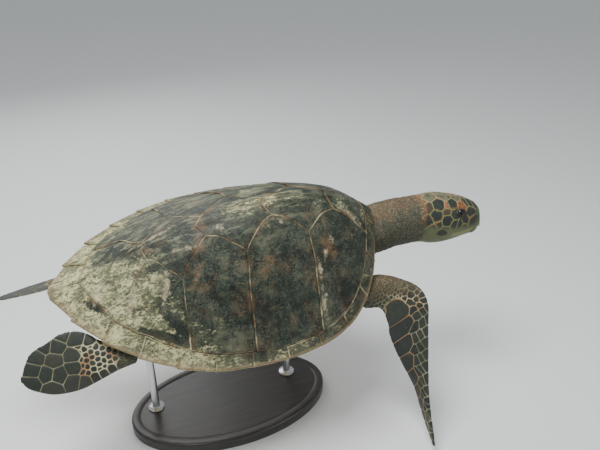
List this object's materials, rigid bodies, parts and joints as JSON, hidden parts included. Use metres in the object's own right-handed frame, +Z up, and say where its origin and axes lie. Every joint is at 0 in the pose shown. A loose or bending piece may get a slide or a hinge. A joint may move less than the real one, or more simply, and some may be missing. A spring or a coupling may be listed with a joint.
{
  "type": "hawksbill sea turtle model",
  "caption": "Life-size hawksbill sea turtle gliding with its right side banked down, right front flipper reaching down, on an oval base with upright rods.",
  "frame": {"origin": "centre of the underside of the oval stand base, on the floor", "axes": "+X towards the turtle's head, +Y to its left, +Z up"},
  "size_m": [1.0448, 0.738, 0.5447],
  "materials": {
    "scute": "dark mottled shell plate, thinly filmed with algae",
    "skin": "scaly dark brown skin with pale lines between the scales",
    "plastron": "cream yellow underside plates",
    "horn": "olive horn of beak and claws",
    "eye": "wet dark eye",
    "stand_base": "satin dark painted plate",
    "stand_rod": "brushed steel rod"
  },
  "bodies": {
    "root": {"nuchal": "scute", "vertebral_1": "scute", "vertebral_2": "scute", "vertebral_3": "scute", "vertebral_4": "scute", "vertebral_5": "scute", "costal_right_1": "scute", "costal_right_2": "scute", "costal_right_3": "scute", "costal_right_4": "scute", "costal_left_1": "scute", "costal_left_2": "scute", "costal_left_3": "scute", "costal_left_4": "scute", "marginal_right_1": "scute", "marginal_right_2": "scute", "marginal_right_3": "scute", "marginal_right_4": "scute", "marginal_right_5": "scute", "marginal_right_6": "scute", "marginal_right_7": "scute", "marginal_right_8": "scute", "marginal_right_9": "scute", "marginal_right_10": "scute", "marginal_right_11": "scute", "marginal_right_12": "scute", "marginal_left_1": "scute", "marginal_left_2": "scute", "marginal_left_3": "scute", "marginal_left_4": "scute", "marginal_left_5": "scute", "marginal_left_6": "scute", "marginal_left_7": "scute", "marginal_left_8": "scute", "marginal_left_9": "scute", "marginal_left_10": "scute", "marginal_left_11": "scute", "marginal_left_12": "scute", "plastron": "plastron", "trunk": "skin", "neck": "skin", "head": "skin", "tail": "skin", "flipper_front_right": "skin", "flipper_front_left": "skin", "flipper_hind_right": "skin", "flipper_hind_left": "skin", "beak_upper": "horn", "beak_lower": "horn", "claw_front_right": "horn", "claw_front_left": "horn", "claw_hind_right": "horn", "claw_hind_left": "horn", "eye_right": "eye", "eye_left": "eye", "stand_base": "stand_base", "stand_rod_front": "stand_rod", "stand_rod_rear": "stand_rod"}
  },
  "joints": []
}
